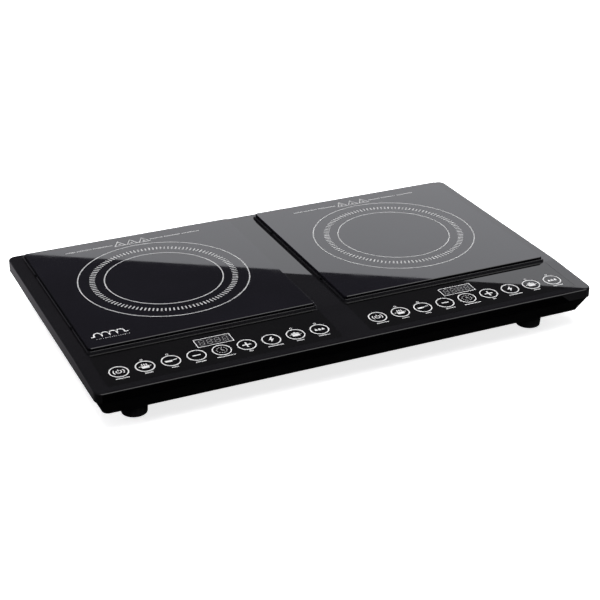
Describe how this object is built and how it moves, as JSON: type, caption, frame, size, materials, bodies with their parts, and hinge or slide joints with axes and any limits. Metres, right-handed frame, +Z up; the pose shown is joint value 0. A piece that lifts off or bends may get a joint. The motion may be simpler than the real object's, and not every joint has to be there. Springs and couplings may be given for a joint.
{
  "type": "portable double induction hob",
  "caption": "Low rectangular induction hob with twin square glass plates, ring markings, a sloped strip of round push keys and displays, on short feet.",
  "frame": {"origin": "middle of the footprint, on the table plane under the feet", "axes": "+X to the user's right along the longest side, +Y to the rear, +Z up; the keys are along the -Y edge"},
  "size_m": [0.64, 0.379, 0.06],
  "materials": {
    "case": "satin",
    "base": "matte",
    "glass": "polished",
    "seal": "matte",
    "film": "gloss",
    "display": "gloss",
    "board": "satin",
    "key": "gloss",
    "copper": "satin",
    "moulding": "matte",
    "ceramic": "matte",
    "heat_sink": "satin",
    "capacitor": "satin",
    "ferrite": "matte",
    "rubber": "matte",
    "terminal": "satin",
    "screw": "satin"
  },
  "bodies": {
    "root": {"upper_housing": "case", "lower_housing": "base", "glass_plate_left": "glass", "glass_seal_left": "seal", "control_film_left": "film", "display_left": "display", "control_board_left": "board", "coil_left": "copper", "coil_carrier_left": "moulding", "temp_sensor_left": "ceramic", "power_board_left": "board", "heat_sink_left": "heat_sink", "capacitor_left": "capacitor", "choke_left": "ferrite", "fan_frame_left": "moulding", "glass_plate_right": "glass", "glass_seal_right": "seal", "control_film_right": "film", "display_right": "display", "control_board_right": "board", "coil_right": "copper", "coil_carrier_right": "moulding", "temp_sensor_right": "ceramic", "power_board_right": "board", "heat_sink_right": "heat_sink", "capacitor_right": "capacitor", "choke_right": "ferrite", "fan_frame_right": "moulding", "cord_gland": "rubber", "terminal_block": "terminal", "foot_front_left": "rubber", "foot_front_right": "rubber", "foot_rear_left": "rubber", "foot_rear_right": "rubber", "case_screw_1": "screw", "case_screw_2": "screw", "case_screw_3": "screw", "case_screw_4": "screw", "case_screw_5": "screw", "case_screw_6": "screw"},
    "key_left_1": {"key_left_1": "key"},
    "key_left_2": {"key_left_2": "key"},
    "key_left_3": {"key_left_3": "key"},
    "key_left_4": {"key_left_4": "key"},
    "key_left_5": {"key_left_5": "key"},
    "key_left_6": {"key_left_6": "key"},
    "key_left_7": {"key_left_7": "key"},
    "key_left_8": {"key_left_8": "key"},
    "key_left_9": {"key_left_9": "key"},
    "fan_rotor_left": {"fan_rotor_left": "moulding"},
    "key_right_1": {"key_right_1": "key"},
    "key_right_2": {"key_right_2": "key"},
    "key_right_3": {"key_right_3": "key"},
    "key_right_4": {"key_right_4": "key"},
    "key_right_5": {"key_right_5": "key"},
    "key_right_6": {"key_right_6": "key"},
    "key_right_7": {"key_right_7": "key"},
    "key_right_8": {"key_right_8": "key"},
    "key_right_9": {"key_right_9": "key"},
    "fan_rotor_right": {"fan_rotor_right": "moulding"}
  },
  "joints": [
    {"name": "press_left_1", "type": "slide", "parent": "root", "child": "key_left_1", "axis": [0, 0.0484, -0.9988], "range_m": [0, 0.0005], "stiffness_N_per_m": 4000},
    {"name": "press_left_2", "type": "slide", "parent": "root", "child": "key_left_2", "axis": [0, 0.0484, -0.9988], "range_m": [0, 0.0005], "stiffness_N_per_m": 4000},
    {"name": "press_left_3", "type": "slide", "parent": "root", "child": "key_left_3", "axis": [0, 0.0484, -0.9988], "range_m": [0, 0.0005], "stiffness_N_per_m": 4000},
    {"name": "press_left_4", "type": "slide", "parent": "root", "child": "key_left_4", "axis": [0, 0.0484, -0.9988], "range_m": [0, 0.0005], "stiffness_N_per_m": 4000},
    {"name": "press_left_5", "type": "slide", "parent": "root", "child": "key_left_5", "axis": [0, 0.0484, -0.9988], "range_m": [0, 0.0005], "stiffness_N_per_m": 4000},
    {"name": "press_left_6", "type": "slide", "parent": "root", "child": "key_left_6", "axis": [0, 0.0484, -0.9988], "range_m": [0, 0.0005], "stiffness_N_per_m": 4000},
    {"name": "press_left_7", "type": "slide", "parent": "root", "child": "key_left_7", "axis": [0, 0.0484, -0.9988], "range_m": [0, 0.0005], "stiffness_N_per_m": 4000},
    {"name": "press_left_8", "type": "slide", "parent": "root", "child": "key_left_8", "axis": [0, 0.0484, -0.9988], "range_m": [0, 0.0005], "stiffness_N_per_m": 4000},
    {"name": "press_left_9", "type": "slide", "parent": "root", "child": "key_left_9", "axis": [0, 0.0484, -0.9988], "range_m": [0, 0.0005], "stiffness_N_per_m": 4000},
    {"name": "fan_spin_left", "type": "hinge", "parent": "root", "child": "fan_rotor_left", "pos_m": [-0.2205, -0.11, 0.03], "axis": [0, 0, 1], "continuous": true},
    {"name": "press_right_1", "type": "slide", "parent": "root", "child": "key_right_1", "axis": [0, 0.0484, -0.9988], "range_m": [0, 0.0005], "stiffness_N_per_m": 4000},
    {"name": "press_right_2", "type": "slide", "parent": "root", "child": "key_right_2", "axis": [0, 0.0484, -0.9988], "range_m": [0, 0.0005], "stiffness_N_per_m": 4000},
    {"name": "press_right_3", "type": "slide", "parent": "root", "child": "key_right_3", "axis": [0, 0.0484, -0.9988], "range_m": [0, 0.0005], "stiffness_N_per_m": 4000},
    {"name": "press_right_4", "type": "slide", "parent": "root", "child": "key_right_4", "axis": [0, 0.0484, -0.9988], "range_m": [0, 0.0005], "stiffness_N_per_m": 4000},
    {"name": "press_right_5", "type": "slide", "parent": "root", "child": "key_right_5", "axis": [0, 0.0484, -0.9988], "range_m": [0, 0.0005], "stiffness_N_per_m": 4000},
    {"name": "press_right_6", "type": "slide", "parent": "root", "child": "key_right_6", "axis": [0, 0.0484, -0.9988], "range_m": [0, 0.0005], "stiffness_N_per_m": 4000},
    {"name": "press_right_7", "type": "slide", "parent": "root", "child": "key_right_7", "axis": [0, 0.0484, -0.9988], "range_m": [0, 0.0005], "stiffness_N_per_m": 4000},
    {"name": "press_right_8", "type": "slide", "parent": "root", "child": "key_right_8", "axis": [0, 0.0484, -0.9988], "range_m": [0, 0.0005], "stiffness_N_per_m": 4000},
    {"name": "press_right_9", "type": "slide", "parent": "root", "child": "key_right_9", "axis": [0, 0.0484, -0.9988], "range_m": [0, 0.0005], "stiffness_N_per_m": 4000},
    {"name": "fan_spin_right", "type": "hinge", "parent": "root", "child": "fan_rotor_right", "pos_m": [0.1005, -0.11, 0.03], "axis": [0, 0, 1], "continuous": true}
  ]
}
